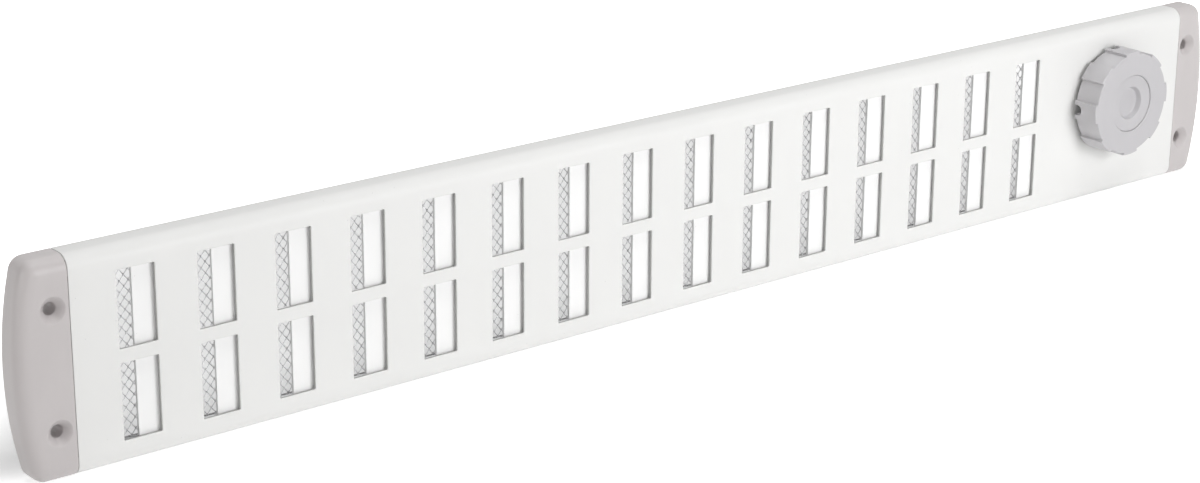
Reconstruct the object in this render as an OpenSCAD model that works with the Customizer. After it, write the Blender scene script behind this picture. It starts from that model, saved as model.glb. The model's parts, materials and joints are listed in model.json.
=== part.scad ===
// Sliding wall ventilator: a slotted aluminium profile with moulded end caps.
// A knob turns a pinion, the pinion moves a rack, and the rack carries a slotted shutter.
// X runs along the profile, Z is up, and the wall is the plane y = 0.
// The room is on the side of negative y. The origin is the centre of the four screw holes.
// At rest the shutter stands half open.

/* [Profile] */
// Length of the extruded profile between the end caps
profile_l = 540; // [536:1:640]
// Depth of the profile from the wall to its face
profile_d = 11; // [10.6:0.1:14]
// Outside radius of the two long front edges
edge_r = 5; // [4:0.5:6]
// Wall thickness of the profile
wall_t = 1.4; // [1.2:0.1:1.6]

/* [Grooves] */
// Thickness of the ribs and lips that form the grooves
lip_t = 1.0; // [0.8:0.1:1.2]
// How far a lip reaches over the piece in its groove
lip_reach = 2.5; // [1.5:0.1:2.6]
// Distance from the inside of the side wall to the bottom of a groove
groove_inset = 2.6; // [2.2:0.1:3]
// Depth of the rear groove that holds the mesh and the bridge
rear_groove = 2.8; // [2.6:0.1:3]
// Thickness of the feet that rest on the wall
foot_t = 1.2; // [0.8:0.1:1.4]
// Width of the feet that rest on the wall
foot_w = 3.6; // [2:0.1:5]

/* [Slots] */
// Number of slots in one row
slot_cols = 15; // [6:1:15]
// Distance between two neighbouring slots
slot_pitch = 30; // [29:0.5:30.5]
// Width of a slot in the face
slot_w = 14.3; // [10:0.1:14.4]
// Height of a slot in the face
slot_h = 27.2; // [20:0.2:34]
// Height of the bar between the two rows
row_gap = 4.8; // [3.6:0.2:8]
// Distance from the left end of the profile to the first slot's centre
first_slot = 24; // [20:1:26]

/* [Shutter] */
// Thickness of the shutter
shutter_t = 1.2; // [1:0.1:1.4]
// Clearance between the shutter and each face of its groove
shutter_gap = 0.15; // [0.1:0.05:0.2]
// Distance between the rear of the face and the shutter
shutter_sink = 0.55; // [0.4:0.05:0.7]
// How far a shutter bar laps over each side of a closed slot
bar_lap = 1.0; // [0.4:0.1:1.2]
// How much higher than the face's slots the shutter's slots are, at each end
slot_margin = 0.5; // [0:0.1:0.8]
// Height of the shutter's solid strip above and below its slots
shutter_strip = 3.2; // [2.6:0.1:6]
// Clearance between the edge of the shutter and the bottom of its groove
shutter_edge_gap = 0.7; // [0.5:0.1:0.9]
// Distance from the shutter's right end to the profile's right end
shutter_end = 10; // [9:0.5:14]
// Number of glide pads along each edge of the shutter
glide_count = 4; // [2:1:5]
// Length of a glide pad
glide_l = 12; // [8:1:14]
// Height of the notch that a glide pad sits in
glide_h = 1.8; // [1.4:0.1:2]
// Distance from the shutter's end to the middle of its first glide pad
glide_inset = 25; // [12:1:30]

/* [Mesh] */
// Width of one diamond of the insect mesh
cell_w = 3.2; // [3:0.1:10]
// Height of one diamond of the insect mesh
cell_h = 4.0; // [3:0.1:10]
// Width of a mesh strand
strand_w = 0.4; // [0.3:0.05:0.6]
// Thickness of a mesh strand
strand_t = 0.32; // [0.25:0.01:0.35]
// Width of the solid edge around the mesh
mesh_edge = 3; // [2.6:0.1:3.4]
// Distance from the mesh's left end to the profile's left end
mesh_end = 1; // [0.5:0.1:3]

/* [Drive] */
// Distance from the knob's axis to the right end of the profile
knob_from_end = 45; // [43:1:48]
// Gear module of the rack and the pinion
tooth_m = 1.0; // [0.9:0.05:1.1]
// Number of teeth on the pinion
pinion_teeth = 12; // [11:1:13]
// Pressure angle of the teeth
tooth_angle = 25; // [24:1:26]
// Play between the teeth of the rack and the pinion
backlash = 0.12; // [0.08:0.02:0.2]
// Height of the rack's pitch line over the middle of the profile
rack_line = 0.3; // [-0.5:0.1:1]
// Number of teeth on the rack
rack_teeth = 10; // [9:1:10]
// Thickness of the rack
rack_t = 2.1; // [1.7:0.1:2.3]
// Height of the rack below the roots of its teeth
rack_body_h = 6; // [5.5:0.5:8]
// Distance between the two rack rivets
rivet_gap = 24; // [20:1:26]
// Radius of a rack rivet
rivet_r = 1.2; // [1:0.1:1.3]
// Radius of the round stem behind the knob
stem_r = 4; // [3.8:0.1:4.1]
// Side of the square tang that turns the pinion
tang_w = 4.4; // [4:0.1:4.8]
// Radius of the pinion's rear journal
journal_r = 2.5; // [2.3:0.1:2.7]
// Radial clearance of each bearing
bearing_gap = 0.05; // [0.02:0.01:0.1]
// Web thickness of the bridge behind the pinion
bridge_t = 1.2; // [1:0.1:1.3]
// Distance from the knob's axis to the bridge's left end
bridge_reach = 35; // [30:1:38]
// Thickness of the washer between the pinion and the bridge
thrust_t = 0.4; // [0.3:0.05:0.5]

/* [Knob] */
// Radius over the grip lobes
knob_r = 22.8; // [20:0.1:24]
// Height of the knob's front over the profile's face
knob_h = 13.7; // [13:0.1:16]
// Gap between the knob's rear rim and the profile's face
knob_gap = 1.8; // [1.6:0.1:2.4]
// Number of grip lobes, an even number
lobes = 8; // [6:2:10]
// Width of one grip lobe
lobe_w = 8.4; // [6:0.1:9]
// Height of a grip lobe over the skirt
lobe_t = 1.1; // [0.6:0.1:1.4]
// Angle of the lobes when the shutter is half open
lobe_turn = 3.4; // [0:0.1:10]
// Radius of the round end of the four notches in the knob's rear rim
rim_notch_r = 2.35; // [1.4:0.05:2.5]
// Length of a notch before its round end
rim_notch_l = 1.35; // [0:0.05:2]
// Wall thickness of the knob
knob_wall = 1.9; // [1.6:0.1:2.2]
// Radius of the round cap in the knob's front
cap_disc_r = 12.2; // [11:0.1:13]
// Radius of the dimple in the round cap
dimple_r = 7.1; // [6:0.1:8]
// Depth of the dimple in the round cap
dimple_depth = 2.2; // [1.6:0.1:2.4]
// How far the round cap's front slopes inwards to its dimple
disc_dish = 0.5; // [0:0.1:0.8]
// How far the round cap lies below the knob's front
disc_sink = 0.45; // [0.3:0.05:0.6]
// Width of the bevel round the knob's front
knob_bevel = 0.5; // [0.3:0.1:1]
// Radius of the screw that holds the knob
screw_r = 1.35; // [1.2:0.05:1.5]

/* [End caps] */
// Width of an end cap at its middle
cap_w = 19.5; // [18.5:0.5:24]
// How far the cap's outer edge curves back towards its corners
cap_bow = 4; // [3:0.5:5]
// Wall thickness of an end cap
cap_wall = 2; // [1.6:0.1:2.2]
// Gap between an end cap and the profile
cap_joint = 0.15; // [0.1:0.05:0.3]
// Distance from the profile's end to the wall screws
screw_out = 6; // [5.5:0.5:7]
// Distance between the upper and the lower wall screw
screw_gap = 42; // [36:1:50]
// Radius of a wall screw's hole
hole_r = 2.25; // [2:0.05:2.5]
// Radius of the countersink at the cap's face
sink_r = 4.6; // [4.2:0.1:4.8]
// Depth of the countersink
sink_depth = 2.6; // [2:0.1:3]
// Length of the tongues that hold an end cap in the profile
tongue_l = 8; // [5:0.5:12]

/* [Hidden] */

$fn = 64;

// Small overlap that lets a cut run clear of a face
over = 0.5;
// Play of a piece that slides into its groove or seat
seat_gap = 0.05;
// Play between two faces that turn on each other
face_play = 0.03;
// Play between the pinion and the back of the shutter
pinion_gap = 0.25;
// Play between the edge of a piece and the bottom of the rear groove
groove_play = 0.3;

half_l = profile_l / 2;
row_z = (slot_h + row_gap) / 2;
shutter_half_h = row_z + slot_h / 2 + slot_margin + shutter_strip;
groove_z = shutter_half_h + shutter_edge_gap;
half_h = groove_z + groove_inset + wall_t;
profile_h = 2 * half_h;
corner_y = -(profile_d - edge_r);
corner_z = half_h - edge_r;

// Heights over the wall, from the face back to the wall
face_in = profile_d - wall_t;
shutter_front = face_in - shutter_sink;
ridge_t = shutter_sink - shutter_gap;
shutter_back = shutter_front - shutter_t;
lip_front = shutter_back - shutter_gap;
lip_back = lip_front - lip_t;
rear_lip_front = lip_back - rear_groove;
rear_lip_back = rear_lip_front - lip_t;

// Height over the middle line at which the lips end
lip_z = groove_z - lip_reach;

// The shutter moves a quarter of the pitch to each side of its rest
travel = slot_pitch / 4;
bar_w = slot_w + 2 * bar_lap;
shutter_slot_w = slot_pitch - bar_w;
shutter_left = -half_l + first_slot + travel - bar_w / 2;
shutter_right = half_l - shutter_end;
glide_foot = 1.5;
glide_nose = 0.35;

// Rack and pinion
pinion_r = tooth_m * pinion_teeth / 2;
axis_x = half_l - knob_from_end;
axis_z = rack_line + pinion_r;
addendum = 0.9 * tooth_m;
dedendum = 1.25 * tooth_m;
tooth_pitch = PI * tooth_m;
base_r = pinion_r * cos(tooth_angle);
root_r = pinion_r - dedendum;
tip_r = pinion_r + addendum;
bridge_back = rear_lip_front + seat_gap;
bridge_front = bridge_back + bridge_t;
pinion_back = bridge_front + thrust_t + 2 * face_play;
pinion_front = shutter_back - pinion_gap;
rack_back = shutter_back - rack_t;
rack_root_z = rack_line - dedendum;
rack_low_z = rack_root_z - rack_body_h;
rack_end = 2;
rack_half_l = rack_teeth * tooth_pitch / 2 + rack_end;
rivet_z = rack_root_z - rack_body_h / 2;
rivet_flange = 0.8;
rivet_head_r = rivet_r + rivet_flange;
rivet_head_t = 0.4;
rivet_sink = 0.6;
rivet_floor = rack_back + rivet_head_t / 2;
head_gap = 0.3;
stem_slot_gap = 0.3;
tooth_steps = 5;
bridge_left = axis_x - bridge_reach;
bridge_right = half_l - seat_gap;
bridge_rib_w = 1.5;
bridge_rib_h = 0.8;
rail_lap = 0.8;
boss_wall = 3;
boss_r = journal_r + boss_wall;
boss_h = 0.2;
clip_t = 0.5;
clip_w = 1.8;
clip_mouth = 2.8;
clip_bite = 0.4;
clip_groove_r = journal_r - clip_bite;
clip_front = bridge_back - boss_h - 2 * seat_gap;
journal_tail = 0.55;
journal_end = clip_front - clip_t - journal_tail;
thrust_gap = 0.2;

// Mesh and its beads
mesh_front = lip_back - seat_gap;
strand_sink = 0.01;
layer_gap = 0.04;
mesh_t = 2 * (strand_t + strand_sink) + layer_gap;
mesh_back = mesh_front - mesh_t;
mesh_left = -half_l + mesh_end;
mesh_right = bridge_left - seat_gap;
mesh_half_h = groove_z - groove_play;
strand_root = 1;
bead_z = lip_z + groove_play;
bead_dent_r = 0.6;

// Knob, as heights over the wall
knob_front = profile_d + knob_h;
knob_rear = profile_d + knob_gap;
flange_t = 1.0;
bush_wall = 1.5;
bush_flange = 4.2;
bush_r = stem_r + bush_wall;
flange_r = stem_r + bush_flange;
friction_t = 0.4;
friction_gap = 0.4;
hub_wall = 2.5;
hub_r = stem_r + hub_wall;
hub_end = profile_d + flange_t + friction_t + 2 * seat_gap;
disc_front = knob_front - disc_sink;
disc_t = 1.4;
disc_ring_t = 1.2;
disc_edge = 0.2;
disc_gap = 0.1;
dimple_wall = 1.0;
dimple_soft = 0.6;
dimple_rim = disc_front - disc_dish;
dimple_floor = dimple_rim - dimple_depth;
dimple_back = dimple_floor - dimple_wall;
dimple_gap = 0.4;
recess_floor = dimple_back - dimple_gap;
recess_r = cap_disc_r + disc_gap;
web_back = recess_floor - knob_wall;
skirt_in = knob_r - lobe_t - knob_wall;
knob_rib_t = 1.2;
knob_rib_lift = 2.5;
tang_gap = 0.1;
stem_end = pinion_front + tang_gap;
socket_w = tang_w + tang_gap;
socket_floor = pinion_back + 2 * tang_gap;
tang_end = socket_floor + tang_gap;
well_r = 3.2;
well_depth = 2.6;
well_floor = recess_floor - well_depth;
screw_gap_r = 0.2;
screw_bite = 1.0;
screw_head_r = 2.8;
screw_head_h = 1.2;
screw_crown_h = 0.6;
cross_l = 3.2;
cross_w = 0.7;
cross_depth = 1.0;
screw_washer_t = 0.5;
screw_head = well_floor + screw_washer_t;
screw_top = screw_head + screw_head_h + screw_crown_h;
screw_tip = journal_end + screw_bite;

// End cap
cap_x = half_l + cap_joint;
rim_x = half_l + cap_w - edge_r;
rim_bow_r = (corner_z * corner_z + cap_bow * cap_bow) / (2 * cap_bow);
rim_steps = 8;
screw_x = half_l + screw_out;
screw_wall = 1.2;
cap_rib_t = 1.2;
cap_rib_lift = 1.5;
tongue_low = screw_gap / 4;

// Runs a section, drawn with y to the right and z up, along X
module along_x(from_x, to_x) {
    translate([from_x, 0, 0])
        rotate([90, 0, 90])
            linear_extrude(to_x - from_x)
                children();
}

// Sets a shape, drawn as seen from the room, between two heights over the wall
module plate(back, front) {
    translate([0, -back, 0])
        rotate([90, 0, 0])
            linear_extrude(front - back)
                children();
}

// Turns the knob's own Z axis to point at the room
module on_axis() {
    translate([axis_x, 0, axis_z])
        rotate([90, 0, 0])
            children();
}

// A disc on the knob's axis between two heights over the wall
module disc(r, back, front) {
    translate([0, 0, back])
        cylinder(r = r, h = front - back);
}

// A flat ring on the knob's axis
module ring(inner_r, outer_r, back, front) {
    difference() {
        disc(outer_r, back, front);
        disc(inner_r, back - over, front + over);
    }
}

// Section of the profile's outside, moved inwards by inset and open by tail at the wall
module outline(inset, tail) {
    reach = profile_d - edge_r + tail;
    translate([corner_y, -half_h + inset])
        square([reach, profile_h - 2 * inset]);
    translate([-profile_d + inset, -corner_z])
        square([profile_d - inset + tail, 2 * corner_z]);
    for (side = [-1, 1])
        translate([corner_y, side * corner_z])
            circle(r = edge_r - inset);
}

// Grooves, foot and the ridge that holds the shutter off the face, on the upper side
module upper_ribs() {
    translate([-face_in - over, lip_z])
        square([over + ridge_t, lip_reach + lip_t]);
    translate([-face_in - over, groove_z])
        square([face_in + over - rear_lip_back, lip_t]);
    translate([-lip_front, lip_z])
        square([lip_t, lip_reach + lip_t]);
    translate([-rear_lip_front, lip_z])
        square([lip_t, lip_reach + lip_t]);
    translate([-foot_t, half_h - wall_t / 2 - foot_w])
        square([foot_t, foot_w]);
}

function slot_x(col) = -half_l + first_slot + col * slot_pitch;

module face_profile() {
    color("whitesmoke")
        difference() {
            along_x(-half_l, half_l) {
                difference() {
                    outline(0, 0);
                    outline(wall_t, over);
                }
                upper_ribs();
                mirror([0, 1])
                    upper_ribs();
            }
            for (col = [0 : slot_cols - 1])
                for (side = [-1, 1])
                    translate([slot_x(col) - slot_w / 2, -profile_d - over, side * row_z - slot_h / 2])
                        cube([slot_w, wall_t + 2 * over, slot_h]);
            on_axis()
                disc(bush_r + seat_gap, face_in - over, profile_d + over);
        }
}

function rim_at(z) = rim_x - rim_bow_r + sqrt(rim_bow_r * rim_bow_r - z * z);

// Outer form of the right end cap, moved inwards by inset and open by tail at the wall
module cap_form(inset, tail) {
    hull() {
        along_x(cap_x + inset, cap_x + inset + 0.1)
            outline(inset, tail);
        for (step = [-rim_steps / 2 : rim_steps / 2]) {
            z = corner_z * step / (rim_steps / 2);
            translate([rim_at(z), corner_y, z]) {
                sphere(r = edge_r - inset, $fn = 32);
                rotate([-90, 0, 0])
                    cylinder(r = edge_r - inset, h = -corner_y + tail, $fn = 32);
            }
        }
    }
}

// Rib across the hollow of the cap at height z
module cap_rib(z) {
    translate([cap_x + cap_wall / 2, -profile_d + cap_wall / 2, z - cap_rib_t / 2])
        cube([rim_at(z) + edge_r - cap_x - cap_wall,
              profile_d - cap_wall / 2 - cap_rib_lift,
              cap_rib_t]);
}

// One of the two tongues behind the rear groove's lips
module cap_tongue() {
    translate([half_l - tongue_l, -rear_lip_back + 2 * seat_gap, tongue_low])
        cube([tongue_l + cap_joint + cap_wall / 2,
              rear_lip_back - foot_t - 4 * seat_gap,
              half_h - wall_t - 2 * seat_gap - tongue_low]);
}

module end_cap() {
    difference() {
        union() {
            difference() {
                cap_form(0, 0);
                cap_form(cap_wall, over);
            }
            for (z = [-tongue_low, 0, tongue_low])
                cap_rib(z);
            for (side = [-1, 1])
                translate([screw_x, 0, side * screw_gap / 2])
                    rotate([90, 0, 0])
                        cylinder(r = sink_r + screw_wall, h = profile_d - cap_wall / 2);
            cap_tongue();
            mirror([0, 0, 1])
                cap_tongue();
        }
        for (side = [-1, 1])
            translate([screw_x, 0, side * screw_gap / 2])
                rotate([90, 0, 0]) {
                    translate([0, 0, -over])
                        cylinder(r = hole_r, h = profile_d + 2 * over);
                    translate([0, 0, profile_d - sink_depth])
                        cylinder(r1 = hole_r, r2 = sink_r, h = sink_depth + 0.01);
                }
    }
}

module right_end_cap() {
    color("lightgray")
        end_cap();
}

module left_end_cap() {
    color("lightgray")
        rotate([0, 180, 0])
            mirror([0, 0, 1])
                end_cap();
}

// One strand, seen from the room, through x at the middle line with a slope of x over z
module strand(x, slope) {
    z_a = (mesh_left + strand_root - x) / slope;
    z_b = (mesh_right - strand_root - x) / slope;
    z_low = max(-mesh_half_h + strand_root, min(z_a, z_b));
    z_high = min(mesh_half_h - strand_root, max(z_a, z_b));
    if (z_high - z_low > mesh_edge)
        translate([x + slope * z_low, z_low])
            rotate(-atan(slope))
                translate([-strand_w / 2, 0])
                    square([strand_w, (z_high - z_low) * sqrt(1 + slope * slope)]);
}

// All strands that lean to one side, at the height back over the wall
module strand_layer(slope, back) {
    reach = abs(slope) * mesh_half_h;
    first = ceil((mesh_left - reach) / cell_w);
    last = floor((mesh_right + reach) / cell_w);
    for (i = [first : last])
        plate(back, back + strand_t)
            strand(i * cell_w, slope);
}

module insect_mesh() {
    color("gainsboro") {
        plate(mesh_back, mesh_front)
            difference() {
                translate([mesh_left, -mesh_half_h])
                    square([mesh_right - mesh_left, 2 * mesh_half_h]);
                translate([mesh_left + mesh_edge, -mesh_half_h + mesh_edge])
                    square([mesh_right - mesh_left - 2 * mesh_edge, 2 * (mesh_half_h - mesh_edge)]);
            }
        strand_layer(cell_w / cell_h, mesh_front - strand_t - strand_sink);
        strand_layer(-cell_w / cell_h, mesh_back + strand_sink);
    }
}

// Bead that presses the mesh's edge against the front lip
module bead() {
    along_x(mesh_left, mesh_right)
        difference() {
            translate([-mesh_back, bead_z])
                square([mesh_back - rear_lip_front - seat_gap, groove_z - bead_z - groove_play]);
            translate([-(mesh_back + rear_lip_front) / 2, bead_z])
                circle(r = bead_dent_r);
        }
}

module mesh_bead_top() {
    color("silver")
        bead();
}

module mesh_bead_bottom() {
    color("silver")
        mirror([0, 0, 1])
            bead();
}

function glide_x(i) =
    shutter_left + glide_inset + i * (shutter_right - shutter_left - 2 * glide_inset) / (glide_count - 1);

module shutter_plate() {
    color("white")
        difference() {
            plate(shutter_back, shutter_front)
                difference() {
                    translate([shutter_left, -shutter_half_h])
                        square([shutter_right - shutter_left, 2 * shutter_half_h]);
                    for (col = [1 : slot_cols - 1])
                        for (side = [-1, 1])
                            translate([slot_x(col) - travel, side * row_z])
                                square([shutter_slot_w, slot_h + 2 * slot_margin], center = true);
                    for (i = [0 : glide_count - 1])
                        for (side = [-1, 1])
                            translate([glide_x(i), side * shutter_half_h])
                                square([glide_l + 2 * seat_gap, 2 * glide_h], center = true);
                }
            on_axis()
                for (side = [-1, 1])
                    translate([side * travel, 0, 0])
                        disc(stem_r + stem_slot_gap, shutter_back - over, shutter_front + over);
            translate([axis_x - travel, -shutter_front - over, axis_z - stem_r - stem_slot_gap])
                cube([2 * travel, shutter_t + 2 * over, 2 * (stem_r + stem_slot_gap)]);
            rivet_places() {
                disc(rivet_r + seat_gap, shutter_back - over, shutter_front + over);
                translate([0, 0, shutter_front - rivet_sink])
                    cylinder(r1 = rivet_r + seat_gap, r2 = rivet_head_r + seat_gap, h = rivet_sink);
            }
        }
}

// Glide pads pressed into the notches of the upper edge
module glide_row() {
    back = shutter_back - seat_gap;
    front = shutter_front + seat_gap;
    for (i = [0 : glide_count - 1])
        plate(back, front)
            translate([glide_x(i) - glide_l / 2, shutter_half_h - glide_h + seat_gap])
                union() {
                    square([glide_l, glide_h]);
                    translate([glide_foot, 0])
                        square([glide_l - 2 * glide_foot, glide_h + glide_nose]);
                }
}

module glides_top() {
    color("ivory")
        glide_row();
}

module glides_bottom() {
    color("ivory")
        mirror([0, 0, 1])
            glide_row();
}

module rivet_places() {
    for (side = [-1, 1])
        translate([axis_x + side * rivet_gap / 2, 0, rivet_z])
            rotate([90, 0, 0])
                children();
}

// Half of a rack tooth's width at a height over the pitch line
function rack_half_w(z) = (tooth_pitch / 2 - backlash) / 2 - z * tan(tooth_angle);

// Outline of the rack's teeth from left to right, seen from the room
function rack_points() =
    [for (i = [0 : rack_teeth - 1])
        let (x = axis_x + (i - (rack_teeth - 1) / 2) * tooth_pitch)
        for (p = [[-rack_half_w(-dedendum), -dedendum],
                  [-rack_half_w(addendum), addendum],
                  [rack_half_w(addendum), addendum],
                  [rack_half_w(-dedendum), -dedendum]])
            [x + p[0], rack_line + p[1]]];

module shutter_rack() {
    color("dimgray")
        difference() {
            plate(rack_back, shutter_back)
                polygon(concat([[axis_x - rack_half_l, rack_low_z],
                                [axis_x - rack_half_l, rack_root_z]],
                               rack_points(),
                               [[axis_x + rack_half_l, rack_root_z],
                                [axis_x + rack_half_l, rack_low_z]]));
            rivet_places() {
                disc(rivet_r + seat_gap, rack_back - over, shutter_back + over);
                disc(rivet_head_r + head_gap, rack_back - over, rivet_floor + rivet_head_t);
            }
        }
}

module rack_rivets() {
    color("silver")
        rivet_places() {
            disc(rivet_r, rivet_floor, shutter_front);
            disc(rivet_head_r, rivet_floor, rivet_floor + rivet_head_t);
            translate([0, 0, shutter_front - rivet_sink])
                cylinder(r1 = rivet_r, r2 = rivet_head_r, h = rivet_sink);
        }
}

module shaft_bush() {
    color("gray")
        on_axis()
            difference() {
                union() {
                    disc(flange_r, profile_d, profile_d + flange_t);
                    disc(bush_r, face_in, profile_d + over);
                }
                disc(stem_r + bearing_gap, face_in - over, profile_d + flange_t + over);
            }
}

// Dished spring ring that keeps the knob where it is set
module friction_washer() {
    back = profile_d + flange_t;
    inner = stem_r + friction_gap;
    outer = flange_r - friction_gap;
    dish = friction_t / 3;
    color("silver")
        on_axis()
            rotate_extrude()
                polygon([[inner, back + dish],
                         [outer, back],
                         [outer, back + friction_t - dish],
                         [inner, back + friction_t]]);
}

// Skirt with its lobes and a bevelled front edge
module knob_shell() {
    intersection() {
        union() {
            disc(knob_r - lobe_t, knob_rear - over, knob_front + over);
            for (i = [0 : lobes / 2 - 1])
                rotate(i * 360 / lobes)
                    translate([-knob_r, -lobe_w / 2, knob_rear - over])
                        cube([2 * knob_r, lobe_w, knob_front - knob_rear + 2 * over]);
        }
        rotate_extrude()
            polygon([[0, knob_rear],
                     [knob_r - knob_bevel / 2, knob_rear],
                     [knob_r, knob_rear + knob_bevel / 2],
                     [knob_r, knob_front - knob_bevel],
                     [knob_r - knob_bevel, knob_front],
                     [0, knob_front]]);
    }
}

// Notch that opens to the rear, cut through the skirt
module rim_notch() {
    translate([skirt_in - knob_wall, 0, knob_rear])
        rotate([90, 0, 90])
            linear_extrude(2 * knob_wall + lobe_t + over) {
                translate([-rim_notch_r, -over])
                    square([2 * rim_notch_r, rim_notch_l + over]);
                translate([0, rim_notch_l])
                    circle(r = rim_notch_r);
            }
}

module knob_body() {
    rim_r = recess_r + knob_wall;
    color("lightgray")
        on_axis()
            rotate(lobe_turn)
                difference() {
                    union() {
                        difference() {
                            knob_shell();
                            disc(skirt_in, knob_rear - over, web_back);
                            ring(rim_r, skirt_in, web_back - over, knob_front - knob_wall);
                            for (turn = [0, 90, 180, 270])
                                rotate(turn)
                                    rim_notch();
                        }
                        disc(hub_r, hub_end, web_back + over);
                        disc(stem_r, stem_end, hub_end + over);
                        for (i = [0 : lobes - 1])
                            rotate((i + 0.5) * 360 / lobes)
                                translate([hub_r - over, -knob_rib_t / 2, knob_rear + knob_rib_lift])
                                    cube([skirt_in - hub_r + 2 * over,
                                          knob_rib_t,
                                          web_back - knob_rear - knob_rib_lift + over]);
                        translate([-tang_w / 2, -tang_w / 2, tang_end])
                            cube([tang_w, tang_w, stem_end - tang_end + over]);
                    }
                    disc(recess_r, recess_floor, knob_front + over);
                    disc(well_r, well_floor, recess_floor + over);
                    disc(screw_r + screw_gap_r, tang_end - over, well_floor + over);
                }
}

// Round cap with its dimple, and a ring behind it that stands in the knob's recess
module knob_disc() {
    color("lightgray")
        on_axis()
            rotate_extrude()
                difference() {
                    polygon([[0, dimple_back],
                             [dimple_r + dimple_wall, dimple_back],
                             [dimple_r + dimple_wall, dimple_rim - disc_t],
                             [cap_disc_r - disc_ring_t, disc_front - disc_t],
                             [cap_disc_r - disc_ring_t, recess_floor + seat_gap],
                             [cap_disc_r, recess_floor + seat_gap],
                             [cap_disc_r, disc_front - disc_edge],
                             [cap_disc_r - disc_edge, disc_front],
                             [dimple_r, dimple_rim],
                             [0, dimple_rim]]);
                    translate([0, dimple_floor])
                        square([dimple_r - dimple_soft, dimple_depth + over]);
                    translate([0, dimple_floor + dimple_soft])
                        square([dimple_r, dimple_depth + over]);
                    translate([dimple_r - dimple_soft, dimple_floor + dimple_soft])
                        circle(r = dimple_soft);
                }
}

module knob_screw() {
    color("silver")
        on_axis()
            difference() {
                union() {
                    disc(screw_r, screw_tip, screw_head + over);
                    disc(screw_head_r, screw_head, screw_head + screw_head_h);
                    translate([0, 0, screw_head + screw_head_h])
                        cylinder(r1 = screw_head_r, r2 = screw_head_r - screw_crown_h, h = screw_crown_h);
                }
                for (turn = [0, 90])
                    rotate(turn)
                        translate([-cross_l / 2, -cross_w / 2, screw_top - cross_depth])
                            cube([cross_l, cross_w, cross_depth + over]);
            }
}

module screw_washer() {
    color("silver")
        on_axis()
            ring(screw_r + screw_gap_r, well_r - head_gap, well_floor, screw_head);
}

function involute(angle) = tan(angle) * 180 / PI - angle;

// Half of a pinion tooth's angle at radius r
function tooth_half(r) =
    let (pitch_half = (tooth_pitch / 2 - backlash) / 2 / pinion_r * 180 / PI)
    pitch_half + involute(tooth_angle) - involute(acos(min(1, base_r / r)));

function polar(r, angle) = [r * sin(angle), -r * cos(angle)];

// Outline of one tooth that points down, turned by angle
function tooth_points(angle) =
    let (step = (tip_r - base_r) / tooth_steps)
    concat([polar(root_r, angle - tooth_half(base_r))],
           [for (i = [0 : tooth_steps]) polar(base_r + i * step, angle - tooth_half(base_r + i * step))],
           [for (i = [tooth_steps : -1 : 0]) polar(base_r + i * step, angle + tooth_half(base_r + i * step))],
           [polar(root_r, angle + tooth_half(base_r))]);

module drive_pinion() {
    color("dimgray")
        on_axis()
            difference() {
                union() {
                    translate([0, 0, pinion_back])
                        linear_extrude(pinion_front - pinion_back)
                            polygon([for (i = [0 : pinion_teeth - 1])
                                for (p = tooth_points(i * 360 / pinion_teeth)) p]);
                    disc(journal_r, journal_end, pinion_back + over);
                }
                ring(clip_groove_r, journal_r + over, clip_front - clip_t - seat_gap, clip_front + seat_gap);
                disc(screw_r + face_play, journal_end - over, pinion_front + over);
                rotate(lobe_turn)
                    translate([-socket_w / 2, -socket_w / 2, socket_floor])
                        cube([socket_w, socket_w, pinion_front - socket_floor + over]);
            }
}

module thrust_washer() {
    color("ivory")
        on_axis()
            ring(journal_r + thrust_gap, root_r, bridge_front + face_play, bridge_front + face_play + thrust_t);
}

// Plate behind the pinion, with a rail along each edge that fills the rear groove
module pinion_bridge() {
    rail_top = groove_z - groove_play;
    rail_low = lip_z - rail_lap;
    color("gray")
        difference() {
            union() {
                plate(bridge_back, bridge_front)
                    translate([bridge_left, -rail_top])
                        square([bridge_right - bridge_left, 2 * rail_top]);
                for (side = [-1, 1])
                    plate(bridge_back, lip_back - seat_gap)
                        translate([bridge_left, side * (rail_top + rail_low) / 2 - (rail_top - rail_low) / 2])
                            square([bridge_right - bridge_left, rail_top - rail_low]);
                for (x = [bridge_left, bridge_right - bridge_rib_w])
                    plate(bridge_back, bridge_front + bridge_rib_h)
                        translate([x, -rail_low - over])
                            square([bridge_rib_w, 2 * (rail_low + over)]);
                on_axis()
                    disc(boss_r, bridge_back - boss_h, bridge_front);
            }
            on_axis()
                disc(journal_r + bearing_gap, bridge_back - boss_h - over, bridge_front + over);
        }
}

// Open ring in the groove of the journal
module journal_clip() {
    color("silver")
        on_axis()
            difference() {
                ring(clip_groove_r + face_play, journal_r + clip_w, clip_front - clip_t, clip_front);
                translate([-clip_mouth / 2, -journal_r - clip_w - over, clip_front - clip_t - over])
                    cube([clip_mouth, journal_r + clip_w + over, clip_t + 2 * over]);
            }
}

face_profile();
left_end_cap();
right_end_cap();
insect_mesh();
mesh_bead_top();
mesh_bead_bottom();
shutter_plate();
glides_top();
glides_bottom();
shutter_rack();
rack_rivets();
shaft_bush();
friction_washer();
knob_body();
knob_disc();
knob_screw();
screw_washer();
drive_pinion();
thrust_washer();
pinion_bridge();
journal_clip();
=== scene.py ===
"""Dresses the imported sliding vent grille: finer surfaces, finishes, light and camera.

Sizes inside the classes are in millimetres in the part's own frame: X along the
profile, Z up, and "height" counted from the wall towards the room (height = -Y).
"""

import sys

import json
import logging
import math
from dataclasses import dataclass
from enum import Enum

import bmesh
import bpy
import numpy as np
from mathutils import Matrix, Vector

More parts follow.
